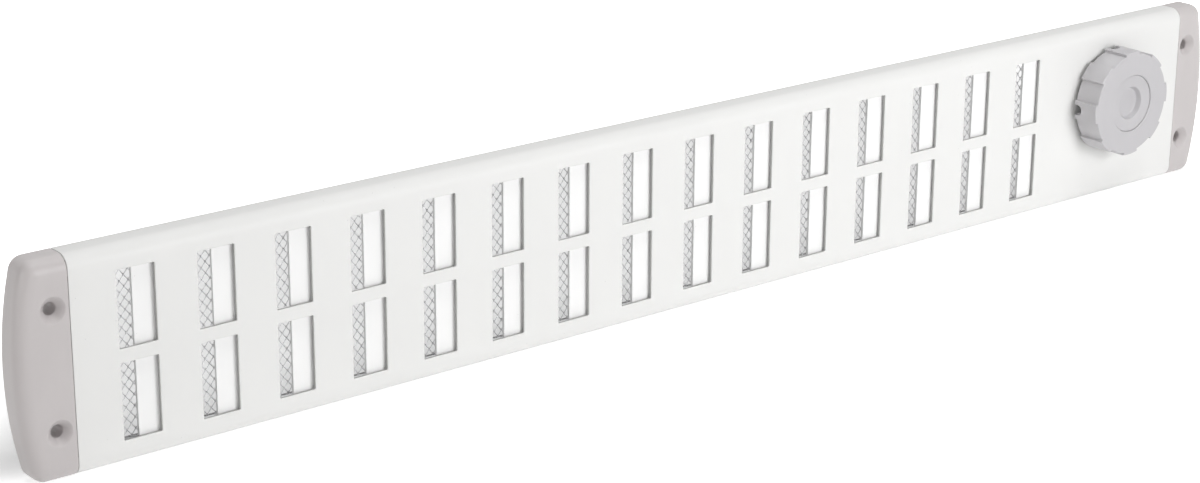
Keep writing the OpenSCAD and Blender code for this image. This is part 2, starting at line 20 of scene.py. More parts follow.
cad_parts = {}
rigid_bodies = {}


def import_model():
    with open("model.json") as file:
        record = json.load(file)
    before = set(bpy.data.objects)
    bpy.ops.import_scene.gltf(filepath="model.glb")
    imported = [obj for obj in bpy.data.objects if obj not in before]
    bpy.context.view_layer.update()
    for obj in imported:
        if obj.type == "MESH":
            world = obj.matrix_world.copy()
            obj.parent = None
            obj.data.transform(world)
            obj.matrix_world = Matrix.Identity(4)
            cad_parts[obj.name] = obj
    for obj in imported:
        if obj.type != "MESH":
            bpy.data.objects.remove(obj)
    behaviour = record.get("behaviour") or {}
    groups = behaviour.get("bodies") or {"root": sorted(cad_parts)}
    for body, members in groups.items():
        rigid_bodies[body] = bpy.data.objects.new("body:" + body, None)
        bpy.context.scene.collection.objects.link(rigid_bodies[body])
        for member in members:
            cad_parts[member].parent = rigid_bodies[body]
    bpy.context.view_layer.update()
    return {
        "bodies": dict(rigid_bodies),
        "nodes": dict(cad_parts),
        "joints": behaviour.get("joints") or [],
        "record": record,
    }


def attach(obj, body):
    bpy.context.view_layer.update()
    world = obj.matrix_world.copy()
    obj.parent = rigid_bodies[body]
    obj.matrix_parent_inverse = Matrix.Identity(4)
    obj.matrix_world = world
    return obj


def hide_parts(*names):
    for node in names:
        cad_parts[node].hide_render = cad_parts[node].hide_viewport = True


LOG = logging.getLogger("grille")
MM = 0.001
Points = np.ndarray
Pair = tuple[float, float]
Triple = tuple[float, float, float]
Mesh = bpy.types.Mesh
Material = bpy.types.Material
Tree = bpy.types.NodeTree
Socket = bpy.types.NodeSocket


class Body(Enum):
    """The moving groups that a piece can ride on."""

    FRAME = "frame"
    KNOB = "knob"
    SHUTTER = "shutter"


class Slot(Enum):
    """Material slots of the record."""

    ALUMINIUM = "coated_aluminium"
    GREY = "grey_plastic"
    KNOB = "knob_plastic"
    STRAND = "mesh_strand"
    VINYL = "bead_vinyl"
    WHITE = "shutter_white"
    NYLON = "natural_nylon"
    GEAR = "gear_plastic"
    BRIDGE = "bridge_plastic"
    STEEL = "plated_steel"


def unit(vectors: Points) -> Points:
    """Scales vectors to length 1.

    Args:
        vectors: One vector in each row.

    Returns:
        The scaled vectors, with zero ones left as they are.
    """
    length = np.linalg.norm(vectors, axis=1)[:, None]
    return vectors / np.where(length < 1e-9, 1.0, length)


def soft_path(corners: list[Triple], steps: int = 4, closed: bool = False) -> Points:
    """Rounds the corners of a polyline.

    A corner with radius r is cut back by r / tan(a / 2) on both sides, a being the
    angle between them, and an arc round the point at r / sin(a / 2) on the
    bisector joins the two cuts.

    Args:
        corners: x, y and radius of each corner.
        steps: Segments of each arc.
        closed: Whether the last corner is joined to the first.

    Returns:
        Points of the path, one row each.
    """
    table = np.array(corners, float)
    point, radius = table[:, :2], table[:, 2]
    before, after = np.roll(point, 1, 0), np.roll(point, -1, 0)
    if not closed:
        before[0] = 2 * point[0] - point[1]
        after[-1] = 2 * point[-1] - point[-2]
    back, ahead = unit(before - point), unit(after - point)
    angle = np.arccos(np.clip((back * ahead).sum(1), -1, 1))
    straight = angle > math.pi - 1e-6
    half = np.where(straight, math.pi / 4, angle / 2)
    radius = np.where(straight, 0.0, radius)
    cut = (radius / np.tan(half))[:, None]
    centre = point + unit(back + ahead) * (radius / np.sin(half))[:, None]
    start, end = (point + back * cut - centre)[:, None], (point + ahead * cut - centre)[:, None]
    turn = (math.pi - 2 * half)[:, None, None]
    share = np.linspace(0, 1, steps + 1)[None, :, None]
    arc = (np.sin((1 - share) * turn) * start + np.sin(share * turn) * end) / np.sin(turn)
    return (centre[:, None] + arc).reshape(-1, 2)


def quarter(steps: int) -> list[Pair]:
    """Sines and cosines along a quarter circle, from 0 on."""
    angle = np.linspace(0, math.pi / 2, steps + 1)
    return list(zip(np.sin(angle), np.cos(angle)))


def frame_loop(x: Pair, z: Pair, per_side: int) -> Points:
    """Points round a rectangle, counter-clockwise from its lower left corner.

    Args:
        x: Left and right side.
        z: Lower and upper side.
        per_side: Segments of each side.

    Returns:
        The loop's points, without the closing one.
    """
    t = np.arange(per_side) / per_side
    one, nil = np.ones(per_side), np.zeros(per_side)
    u = np.concatenate([t, one, 1 - t, nil])
    v = np.concatenate([nil, t, one, 1 - t])
    return np.stack([x[0] + u * (x[1] - x[0]), z[0] + v * (z[1] - z[0])], 1)


def slot_loop(centre: Pair, half: Pair, radius: float, per_side: int) -> Points:
    """Points round a rectangle with round corners, in step with frame_loop.

    The first and the last quarter of each side's points lie on the corner arcs,
    each arc being split at its middle.

    Args:
        centre: Middle of the slot.
        half: Half width and half height.
        radius: Corner radius.
        per_side: Segments of each side.

    Returns:
        The loop's points, without the closing one.
    """
    t = np.arange(per_side) / per_side
    early = np.clip(1 - t * 4, 0, 1) * math.pi / 4
    late = np.clip(t * 4 - 3, 0, 1) * math.pi / 4
    inward = radius * (1 - np.cos(early + late))
    middle = np.clip(t * 2 - 0.5, 0, 1) * 2 - 1
    curve = radius * (np.sin(late) - np.sin(early))
    w, h = half
    along_w, along_h = middle * (w - radius) + curve, middle * (h - radius) + curve
    x = np.concatenate([along_w, w - inward, -along_w, -w + inward])
    z = np.concatenate([-h + inward, along_h, h - inward, -along_h])
    return np.stack([centre[0] + x, centre[1] + z], 1)


def ring_loop(centre: Pair, radius: float, count: int) -> Points:
    """Points round a circle, counter-clockwise from its lower left, in step with frame_loop."""
    angle = -0.75 * math.pi + np.arange(count) * 2 * math.pi / count
    return np.stack([centre[0] + radius * np.cos(angle), centre[1] + radius * np.sin(angle)], 1)


def inset(loop: Points, distance: float) -> Points:
    """Moves a closed loop inwards.

    Each point moves along the mean of its two neighbours' normals, and points that
    lie on one another move together.

    Args:
        loop: Points in a plane.
        distance: How far they move.

    Returns:
        The moved points.
    """
    new = np.linalg.norm(loop - np.roll(loop, 1, 0), axis=1) > 1e-6
    number = np.cumsum(new) - 1
    number[number < 0] = new.sum() - 1
    single = loop[new]
    ahead = np.roll(single, -1, 0)
    along = unit(ahead - single)
    normal = np.stack([-along[:, 1], along[:, 0]], 1)
    mean = normal + np.roll(normal, 1, 0)
    mean /= np.maximum((mean**2).sum(1), 0.5)[:, None] / 2
    area = (single[:, 0] * ahead[:, 1] - single[:, 1] * ahead[:, 0]).sum()
    return (single + mean * distance * np.sign(area))[number]


def softened(loop: Points, low: float, high: float, soft: float) -> list[tuple[Points, float]]:
    """Loops and levels of a plate whose two edges are rounded by a quarter circle.

    Args:
        loop: Outline of the plate.
        low: Level of its one face.
        high: Level of its other face.
        soft: Radius of the rounding.

    Returns:
        Outline and level of each row.
    """
    rows = [(inset(loop, soft * (1 - s)), low + soft * (1 - c)) for s, c in quarter(3)]
    return rows + [(outline, low + high - level) for outline, level in rows[::-1]]


def raised(plan: Points, height: float | Points) -> Points:
    """Turns plan points (x, z) and heights over the wall into points of the frame."""
    return np.stack([plan[..., 0], -np.broadcast_to(height, plan.shape[:-1]), plan[..., 1]], -1)


def between(lines: Points, low: float, high: float) -> Points:
    """Those lines of a grid that lie from one level to another, both included."""
    return lines[(lines > low - 1e-6) & (lines < high + 1e-6)]


def upright(x: float, z: Points) -> Points:
    """Plan points at one x."""
    return np.stack([np.full(len(z), x), z], 1)


class Skin:
    """Grids of points that join into one mesh of closed surfaces."""

    def __init__(self) -> None:
        """Starts with no surface."""
        self._points: list[Points] = []
        self._quads: list[Points] = []
        self._rims: list[Points] = []
        self._count = 0

    def _keep(self, points: Points) -> Points:
        """Stores points.

        Args:
            points: Array of any shape with x, y and z last.

        Returns:
            Their numbers, in the array's shape.
        """
        flat = points.reshape(-1, 3)
        numbers = self._count + np.arange(len(flat)).reshape(points.shape[:-1])
        self._points.append(flat)
        self._count += len(flat)
        return numbers

    def grid(self, rows: Points | list[Points], wrap: bool = False) -> None:
        """Adds a surface over a grid of points.

        Args:
            rows: Rows of points, all of one length.
            wrap: Whether the last column is joined to the first.
        """
        n = self._keep(np.stack(rows))
        if wrap:
            n = np.hstack([n, n[:, :1]])
        quads = np.stack([n[:-1, :-1], n[:-1, 1:], n[1:, 1:], n[1:, :-1]], -1)
        self._quads.append(quads.reshape(-1, 4))

    def lid(self, points: Points) -> None:
        """Adds one flat face round a loop of points."""
        self._rims.append(self._keep(points))

    def prism(self, rows: list[Points]) -> None:
        """Adds a closed body over a pile of loops.

        Args:
            rows: The loops, the first and the last of which get a flat face.
        """
        self.grid(rows, wrap=True)
        self.lid(rows[0])
        self.lid(rows[-1])

    def end(self, loop: Points, x: float, inward: int, soft: float) -> None:
        """Closes an extrusion along x with a flat end, rounded all round.

        Args:
            loop: Section in z and height.
            x: Where the end lies.
            inward: Which way the body lies along x, 1 or -1.
            soft: Radius of the rounding.
        """
        rows = []
        for s, c in quarter(3):
            ring = inset(loop, soft * (1 - c))
            rows.append(raised(upright(x + inward * soft * (1 - s), ring[:, 0]), ring[:, 1]))
        self.grid(rows, wrap=True)
        self.lid(rows[-1])

    def mirror(self) -> None:
        """Mirrors everything in the plane x = 0."""
        for points in self._points:
            points[:, 0] *= -1

    def bars(self, ends: Points, section: Points) -> None:
        """Adds many straight bars of one section at once.

        A bar's section is carried from its first to its last point, and a fan of
        quads closes each end.

        Args:
            ends: Array of bars, two ends and x, y, z.
            section: Array of bars, points round the section and x, y, z offsets.
        """
        around = section.shape[1]
        n = self._keep(ends[:, :, None] + section[:, None])
        side = np.concatenate([n, n[:, :, :1]], 2)
        quads = np.stack([side[:, 0, :-1], side[:, 0, 1:], side[:, 1, 1:], side[:, 1, :-1]], -1)
        self._quads.append(quads.reshape(-1, 4))
        for end in (0, 1):
            steps = range(1, around - 1, 2)
            fan = np.concatenate([n[:, end, [0, k, k + 1, min(k + 2, around - 1)]] for k in steps])
            self._quads.append(fan if end else fan[:, ::-1])

    def mesh(self, name: str) -> Mesh:
        """Welds the grids into one mesh with its faces outwards.

        Args:
            name: Name of the mesh.

        Returns:
            The mesh in metres.
        """
        points = np.concatenate(self._points)
        grain = np.round(points * 5000 + 0.37)
        _, first, number = np.unique(grain, axis=0, return_index=True, return_inverse=True)
        number = number.reshape(-1)
        quads = number[np.concatenate(self._quads)]
        kept = ((0, 1, [0, 2, 3]), (1, 2, [0, 1, 3]), (2, 3, [0, 1, 2]), (3, 0, [0, 1, 2]))
        triangle = np.concatenate([quads[quads[:, a] == quads[:, b]][:, rest] for a, b, rest in kept])
        sound = (quads != np.roll(quads, 1, 1)).all(1)
        spread = (triangle != np.roll(triangle, 1, 1)).all(1)
        faces = quads[sound].tolist() + np.unique(triangle[spread], axis=0).tolist()
        for rim in self._rims:
            loop = number[rim]
            faces.append(loop[loop != np.roll(loop, 1)].tolist())
        mesh = bpy.data.meshes.new(name)
        mesh.from_pydata((points[first] * MM).tolist(), [], faces)
        shell = bmesh.new()
        shell.from_mesh(mesh)
        bmesh.ops.recalc_face_normals(shell, faces=shell.faces)
        shell.to_mesh(mesh)
        shell.free()
        return mesh


@dataclass(frozen=True)
class Piece:
    """Where a finished mesh belongs."""

    name: str
    body: Body
    slot: Slot
    stands_for: tuple[str, ...] = ()

    def place(self, mesh: Mesh, finish: Material, sharp: float = 38.0) -> bpy.types.Object:
        """Makes the object, smooths it and joins it to its body.

        Args:
            mesh: The piece's surface in metres.
            finish: Its material.
            sharp: Angle in degrees over which an edge stays sharp.

        Returns:
            The object in the scene.
        """
        mesh.shade_smooth()
        mesh.set_sharp_from_angle(angle=math.radians(sharp))
        mesh.materials.append(finish)
        thing = bpy.data.objects.new(self.name, mesh)
        bpy.context.scene.collection.objects.link(thing)
        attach(thing, self.body.value)
        if self.stands_for:
            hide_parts(*self.stands_for)
        LOG.info("%s: %d faces", self.name, len(mesh.polygons))
        return thing


def fill(target: Socket, value: Socket | float | tuple) -> None:
    """Links a value to a socket, or sets it there as a constant.

    Args:
        target: Socket that takes it.
        value: Another node's socket, or the constant.
    """
    if isinstance(value, Socket):
        target.id_data.links.new(value, target)
    else:
        target.default_value = value


def maths(tree: Tree, operation: str, *values: Socket | float) -> Socket:
    """Adds a maths node.

    Args:
        tree: Node tree that it joins.
        operation: Name of the operation.
        values: Its inputs.

    Returns:
        The node's value.
    """
    node = tree.nodes.new("ShaderNodeMath")
    node.operation = operation
    for target, value in zip(node.inputs, values):
        fill(target, value)
    return node.outputs["Value"]


class Graph:
    """The nodes of one material, with short names for the ones used here."""

    def __init__(self, name: str) -> None:
        """Makes the material with its surface shader.

        Args:
            name: Name of the material.
        """
        self.material = bpy.data.materials.new(name)
        self.material.use_nodes = True
        self.tree = self.material.node_tree
        self.tree.nodes.clear()
        self.shader = self.node("BsdfPrincipled")
        self.node("OutputMaterial", Surface=self.shader.outputs["BSDF"])
        self.place = self.node("TexCoord").outputs["Object"]

    def node(self, kind: str, **inputs: Socket | float | tuple) -> bpy.types.Node:
        """Adds a node.

        Args:
            kind: Its type, without the common first part.
            inputs: Its inputs by name, with underscores for spaces.

        Returns:
            The node.
        """
        node = self.tree.nodes.new(f"ShaderNode{kind}")
        for key, value in inputs.items():
            fill(node.inputs[key.replace("_", " ")], value)
        return node

    def set(self, **values: Socket | float | tuple) -> None:
        """Fills the shader's own sockets, named with underscores for spaces."""
        for key, value in values.items():
            fill(self.shader.inputs[key.replace("_", " ")], value)

    def stretched(self, scale: Triple, centre: Triple = (0.0, 0.0, 0.0)) -> Socket:
        """Object coordinates about a centre, with each axis multiplied by its own scale."""
        offset = [-c * k for c, k in zip(centre, scale)]
        return self.node("Mapping", Vector=self.place, Location=offset, Scale=scale).outputs["Vector"]

    def noise(self, size: float, detail: float, rough: float = 0.5, place: Socket | None = None) -> Socket:
        """Soft noise.

        Args:
            size: Size of its grains in millimetres.
            detail: Octaves of finer noise.
            rough: Share of the finer octaves.
            place: Coordinates, the object's own if left out.

        Returns:
            The noise's value, about 0.5 on average.
        """
        place = self.place if place is None else place
        scale = 1.0 / (size * MM)
        return self.node("TexNoise", Scale=scale, Detail=detail, Roughness=rough, Vector=place).outputs["Fac"]

    def along(self, operation: str, first: Socket, second: Triple = (0.0, 0.0, 0.0)) -> Socket:
        """Adds a vector node.

        Args:
            operation: Name of the operation.
            first: Vector that it measures.
            second: Constant vector, where the operation takes one.

        Returns:
            The node's value.
        """
        node = self.node("VectorMath")
        node.operation = operation
        fill(node.inputs[0], first)
        fill(node.inputs[1], second)
        return node.outputs["Value"]

    def band(self, axis: Triple, ends: Pair, soft: float) -> Socket:
        """Value that is 1 between two planes and fades to 0 outside them.

        Args:
            axis: Direction across the planes.
            ends: Distances of the planes from the origin along it.
            soft: How far the value takes to fade.

        Returns:
            The value.
        """
        reach = self.along("DOT_PRODUCT", self.place, axis)
        low = self.spread(reach, (ends[0] - soft, ends[0]), (0.0, 1.0))
        return self.times(low, self.spread(reach, (ends[1], ends[1] + soft), (1.0, 0.0)))

    def cells(self, size: float) -> Socket:
        """Distance from scattered points that lie about one size, in millimetres, apart."""
        return self.node("TexVoronoi", Scale=1.0 / (size * MM), Vector=self.place).outputs["Distance"]

    def spread(self, value: Socket, source: Pair, target: Pair) -> Socket:
        """Maps a value's range to another range, smoothly and clamped.

        Args:
            value: The value.
            source: Its range.
            target: The range of the result.

        Returns:
            The mapped value.
        """
        names = ("From_Min", "From_Max", "To_Min", "To_Max")
        node = self.node("MapRange", Value=value, **dict(zip(names, source + target)))
        node.interpolation_type = "SMOOTHSTEP"
        return node.outputs["Result"]

    def sum(self, first: Socket, second: Socket, share: float) -> Socket:
        """First value plus a share of the second."""
        return maths(self.tree, "MULTIPLY_ADD", second, share, first)

    def times(self, first: Socket, second: Socket) -> Socket:
        """Product of two values."""
        return maths(self.tree, "MULTIPLY", first, second)

    def tint(self, value: Socket, low: Triple, high: Triple | Socket) -> Socket:
        """Colour between two colours, by a value from 0 to 1.

        Args:
            value: Share of the second colour.
            low: First colour.
            high: Second colour, or the socket that gives it.

        Returns:
            The mixed colour.
        """
        node = self.node("Mix")
        node.data_type = "RGBA"
        sockets = {s.identifier: s for s in node.inputs}
        fill(sockets["A_Color"], (*low, 1))
        fill(sockets["B_Color"], (*high, 1) if isinstance(high, tuple) else high)
        fill(sockets["Factor_Float"], value)
        return {s.identifier: s for s in node.outputs}["Result_Color"]

    def relief(self, height: Socket, depth: float) -> None:
        """Bumps the surface by a value from 0 to 1, which stands for a depth in millimetres."""
        node = self.node("Bump", Strength=1.0, Distance=depth * MM, Height=height)
        self.set(Normal=node.outputs["Normal"])


def shade(colour: Triple, factor: float) -> Triple:
    """A colour multiplied by a factor."""
    return tuple(channel * factor for channel in colour)


@dataclass(frozen=True)
class PowderCoat:
    """Baked powder coat: faint orange peel over a fine grain, with painted shade inside the profile and on
    the slots' walls.
    """

    name: str
    colour: Triple
    gloss: float = 0.5
    peel: float = 1.3
    depth: float = 0.012
    # Colour factor of the painted shade behind the face and on the slots' walls; 1 paints none.
    painted_recess_shade: float = 1.0

    def inside(self, g: Graph) -> Socket:
        """Mask of the painted shade: 1 behind the face and on the rear part of the slots' walls.

        Args:
            g: Graph of the material.

        Returns:
            The value, 0 on the outside.
        """
        deep, up = (0.0, 1.0, 0.0), (0.0, 0.0, 1.0)
        rear = g.times(g.band(deep, (-0.0096, 0.001), 0.0001), g.band(up, (-0.0361, 0.0361), 0.0003))
        walls = g.times(g.band(deep, (-0.0105, -0.0095), 0.0003), g.band(up, (-0.031, 0.031), 0.0003))
        return maths(g.tree, "MAXIMUM", rear, walls)

    def material(self) -> Material:
        """Builds the coat.

        Returns:
            Its material.
        """
        g = Graph(self.name)
        peel = g.noise(self.peel, 1.0, 0.4)
        grain = g.noise(0.22, 1.0)
        speck = g.spread(g.cells(7.0), (0.015, 0.03), (0.0, 1.0))
        tone = g.sum(g.spread(g.noise(45.0, 2.0), (0.3, 0.7), (0.35, 0.75)), grain, 0.2)
        colour = g.tint(tone, shade(self.colour, 0.985), shade(self.colour, 1.012))
        colour = g.tint(speck, shade(self.colour, 0.8), colour)
        # Painted shade: the coat's colour is darkened behind the face and on the slots' walls, where shade
        # falls in the recesses.
        if self.painted_recess_shade < 1.0:
            outside = g.spread(self.inside(g), (0.0, 1.0), (1.0, 0.0))
            colour = g.tint(outside, shade(self.colour, self.painted_recess_shade), colour)
        rough = g.spread(grain, (0.25, 0.75), (self.gloss - 0.05, self.gloss + 0.07))
        g.relief(g.sum(peel, grain, 0.18), self.depth)
        g.set(Base_Color=colour, Roughness=rough, IOR=1.45)
        return g.material


@dataclass(frozen=True)
class Moulded:
    """Moulded plastic with a spark-eroded grain and faint flow marks."""

    name: str
    colour: Triple
    gloss: float = 0.45
    grain: float = 0.35
    depth: float = 0.018
    glow: float = 0.0
    clear: float = 0.0

    def material(self) -> Material:
        """Builds the plastic.

        Returns:
            Its material.
        """
        g = Graph(self.name)
        grain = g.noise(self.grain, 2.0, 0.6)
        pits = g.spread(g.cells(self.grain * 1.7), (0.0, 0.5), (0.0, 1.0))
        flow = g.noise(9.0, 3.0, 0.55, g.stretched((1.0, 1.0, 0.35)))
        tone = g.sum(g.spread(flow, (0.3, 0.7), (0.25, 0.75)), grain, 0.25)
        colour = g.tint(tone, shade(self.colour, 0.97), shade(self.colour, 1.02))
        rough = g.spread(grain, (0.25, 0.75), (self.gloss - 0.05, self.gloss + 0.08))
        g.relief(g.sum(grain, pits, 0.5), self.depth)
        g.set(Base_Color=colour, Roughness=rough, IOR=1.49, Transmission_Weight=self.clear)
        if self.glow:
            g.set(Subsurface_Weight=self.glow, Subsurface_Scale=0.001, Subsurface_Radius=(1.0, 1.0, 1.0))
        return g.material


@dataclass(frozen=True)
class Plated:
    """Zinc-plated steel: bright, with fine drawn lines and faint clouds."""

    name: str
    colour: Triple
    gloss: float = 0.32

    def material(self) -> Material:
        """Builds the plating.

        Returns:
            Its material.
        """
        g = Graph(self.name)
        lines = g.noise(0.4, 2.0, 0.6, g.stretched((0.25, 1.0, 4.0)))
        cloud = g.noise(3.0, 3.0, 0.55)
        colour = g.tint(cloud, shade(self.colour, 0.85), shade(self.colour, 1.08))
        rough = g.spread(g.sum(lines, cloud, 0.4), (0.4, 1.0), (self.gloss - 0.08, self.gloss + 0.12))
        g.relief(lines, 0.006)
        g.set(Base_Color=colour, Roughness=rough, Metallic=1.0)
        return g.material


RECIPES = {
    # The coat's colour is halved behind the face and on the slots' walls, as painted shade.
    Slot.ALUMINIUM: PowderCoat("white_powder_coat", (0.83, 0.83, 0.817), painted_recess_shade=0.5),
    Slot.WHITE: PowderCoat("shutter_coat", (0.975, 0.975, 0.97), depth=0.008),
    Slot.GREY: Moulded("grey_cap_plastic", (0.57, 0.538, 0.536), gloss=0.4),
    Slot.KNOB: Moulded("grey_knob_plastic", (0.53, 0.52, 0.535), gloss=0.42),
    Slot.STRAND: Moulded("net_strand", (0.85, 0.85, 0.86), gloss=0.5, grain=0.2, depth=0.01, clear=0.55),
    Slot.VINYL: Moulded("bead_vinyl_pale", (0.8, 0.8, 0.8), gloss=0.6, grain=0.6),
    Slot.NYLON: Moulded("nylon_natural", (0.76, 0.735, 0.66), gloss=0.4, glow=0.15),
    Slot.GEAR: Moulded("acetal_dark", (0.055, 0.056, 0.06), gloss=0.36, grain=0.5, depth=0.01),
    Slot.BRIDGE: Moulded("bridge_grey", (0.24, 0.24, 0.25), gloss=0.5, grain=0.5),
    Slot.STEEL: Plated("zinc_plate", (0.66, 0.66, 0.65)),
}


class Finishes:
    """One material for each of the record's slots."""

    def __init__(self) -> None:
        """Builds all materials."""
        self.made = {slot: recipe.material() for slot, recipe in RECIPES.items()}

    def __getitem__(self, slot: Slot) -> Material:
        """The material of a slot."""
        return self.made[slot]

    def dress(self, frame: dict) -> None:
        """Gives every CAD node the material of its slot in the record.

        Args:
            frame: The loaded frame.
        """
        for entry in frame["record"]["subparts"]:
            node = frame["nodes"].get(entry["node"])
            if node is not None:
                node.data.materials.clear()
                node.data.materials.append(self[Slot(entry["material_slot"])])


@dataclass
class FaceProfile:
    """Extruded profile with two rows of slots, softened along every edge."""

    half_length: float = 270.0
    half_height: float = 38.0
    depth: float = 11.0
    wall: float = 1.4
    edge: float = 5.0
    opening: float = 31.5
    foot: Pair = (33.7, 1.2)
    block: Triple = (2.9, 35.0, 8.993)
    bend: Pair = (7.924, 3.6)
    groove: float = 34.0
    net_groove: Pair = (3.9, 6.7)
    plate_groove: Pair = (7.7, 9.2)
    pitch: float = 30.0
    first: float = -246.0
    columns: int = 15
    slot_half: Pair = (7.15, 13.6)
    row: float = 16.0
    corner: float = 0.45
    lip: float = 0.25
    rest: float = 0.35
    end: float = 0.22
    bush: Triple = (225.0, 6.3, 5.55)
    per_side: int = 8

    def spans(self) -> tuple[Pair, Pair]:
        """Extent in x of the slots' cells and of the bush's cell."""
        left, middle = self.first - self.pitch / 2, self.bush[0]
        return (left, left + self.pitch * self.columns), (middle - self.pitch / 2, middle + self.pitch / 2)

    def stations(self) -> tuple[Points, Points]:
        """Lines of the face's grid.

        Returns:
            Their places in x and in z.
        """
        (left, right), (start, stop) = self.spans()
        fine = np.linspace(left, right, self.columns * self.per_side + 1)
        end = self.half_length - self.end
        x = np.concatenate([[-end], fine, np.linspace(start, stop, self.per_side + 1), [end]])
        z = np.linspace(0, self.opening, self.per_side + 1)
        top = self.half_height - self.edge
        return x, np.concatenate([[-top], -z[:0:-1], z, [top]])

    def section(self) -> Points:
        """Upper half of the section: the edge, the wall foot, and the lips of both grooves.

        Returns:
            Height and z of each point, from the face over the edge to the inside.
        """
        h, d, w, lip, floor = self.half_height, self.depth, self.wall, self.opening, self.groove
        (foot, sole), (rear, top, joint), (bend, radius) = self.foot, self.block, self.bend
        (net, net_end), (plate, plate_end) = self.net_groove, self.plate_groove
        rows = [
            (d, h - self.edge, 0), (d, h, self.edge), (0, h, 0.25), (0, foot, 0.3),
            (sole, foot, 0.3), (sole, h - w, 0.3), (bend, h - w, radius), (joint, top, 0),
            (rear, top, 0.25), (rear, lip, 0.35), (net, lip, 0.35), (net, floor, 0.2),
            (net_end, floor, 0.2), (net_end, lip, 0.35), (plate, lip, 0.35), (plate, floor, 0.2),
            (plate_end, floor, 0.1), (plate_end, lip, 0.15), (d - w, lip, 0),
        ]
        return soft_path(rows, steps=7)

    def wall_rows(self) -> Points:
        """Outward offset and height of the rows down a hole's wall."""
        front, back, out = self.depth, self.depth - self.wall, self.lip + self.rest
        return soft_path([(out, front, 0), (0, front, self.lip), (0, back, self.lip / 2), (out, back, 0)])

    def cell(self, skin: Skin, x: Pair, z: Pair, loops: list[Points]) -> None:
        """Adds the face round one hole, with the hole's wall, on both sides.

        Args:
            skin: Surface that it joins.
            x: Left and right side of the cell.
            z: Lower and upper side of the cell.
            loops: Outline of the hole at each of the wall's rows.
        """
        rim = frame_loop(x, z, self.per_side)
        rows = [raised(loop, h) for loop, (_, h) in zip(loops, self.wall_rows())]
        skin.grid([raised(rim, self.depth), *rows, raised(rim, self.depth - self.wall)], wrap=True)

    def holes(self, skin: Skin) -> None:
        """Adds the cells of all slots and of the bush.

        Args:
            skin: Surface that they join.
        """
        offsets = self.wall_rows()[:, 0]
        (left, _), bush_span = self.spans()
        w, h = self.slot_half
        for col in range(self.columns):
            x0 = left + col * self.pitch
            for side in (-1, 1):
                centre = (self.first + col * self.pitch, side * self.row)
                loops = [slot_loop(centre, (w + o, h + o), self.corner + o, self.per_side) for o in offsets]
                z = (0.0, self.opening) if side > 0 else (-self.opening, 0.0)
                self.cell(skin, (x0, x0 + self.pitch), z, loops)
        x, z, radius = self.bush
        loops = [ring_loop((x, z), radius + o, 4 * self.per_side) for o in offsets]
        self.cell(skin, bush_span, (0.0, self.opening), loops)

    def flats(self, skin: Skin) -> None:
        """Adds the face between the cells, on its front and, inside the lips, on its rear.

        Args:
            skin: Surface that it joins.
        """
        xs, zs = self.stations()
        (left, right), (start, stop) = self.spans()
        top, low, high = self.opening, zs[0], zs[-1]
        patches = [
            (xs[0], left, low, high), (right, start, low, high), (stop, xs[-1], low, high),
            (left, right, top, high), (left, right, low, -top),
            (start, stop, top, high), (start, stop, low, 0.0),
        ]
        for x0, x1, z0, z1 in patches:
            pz = between(zs, z0, z1)
            plan = np.stack(np.meshgrid(between(xs, x0, x1), pz, indexing="ij"), -1)
            skin.grid(raised(plan, self.depth))
            if np.abs(pz).min() < top - 1e-6:
                skin.grid(raised(plan[:, np.abs(pz) < top + 1e-6], self.depth - self.wall))

    def mesh(self) -> Mesh:
        """Builds the whole profile.

        Returns:
            Its mesh.
        """
        skin = Skin()
        self.holes(skin)
        self.flats(skin)
        xs, zs = self.stations()
        path = self.section()
        for side in (-1, 1):
            plan = np.stack(np.broadcast_arrays(xs[None, :], side * path[:, 1:2]), -1)
            skin.grid(raised(plan, path[:, :1]))
        face = upright(self.depth, zs)
        back = upright(self.depth - self.wall, zs[np.abs(zs) < path[-1, 1] - 1e-6][::-1])
        loop = np.concatenate([face, path, back, (path * [1, -1])[::-1]])
        for side in (-1, 1):
            skin.end(loop[:, ::-1], side * self.half_length, -side, self.end)
        return skin.mesh("face_profile_skin")


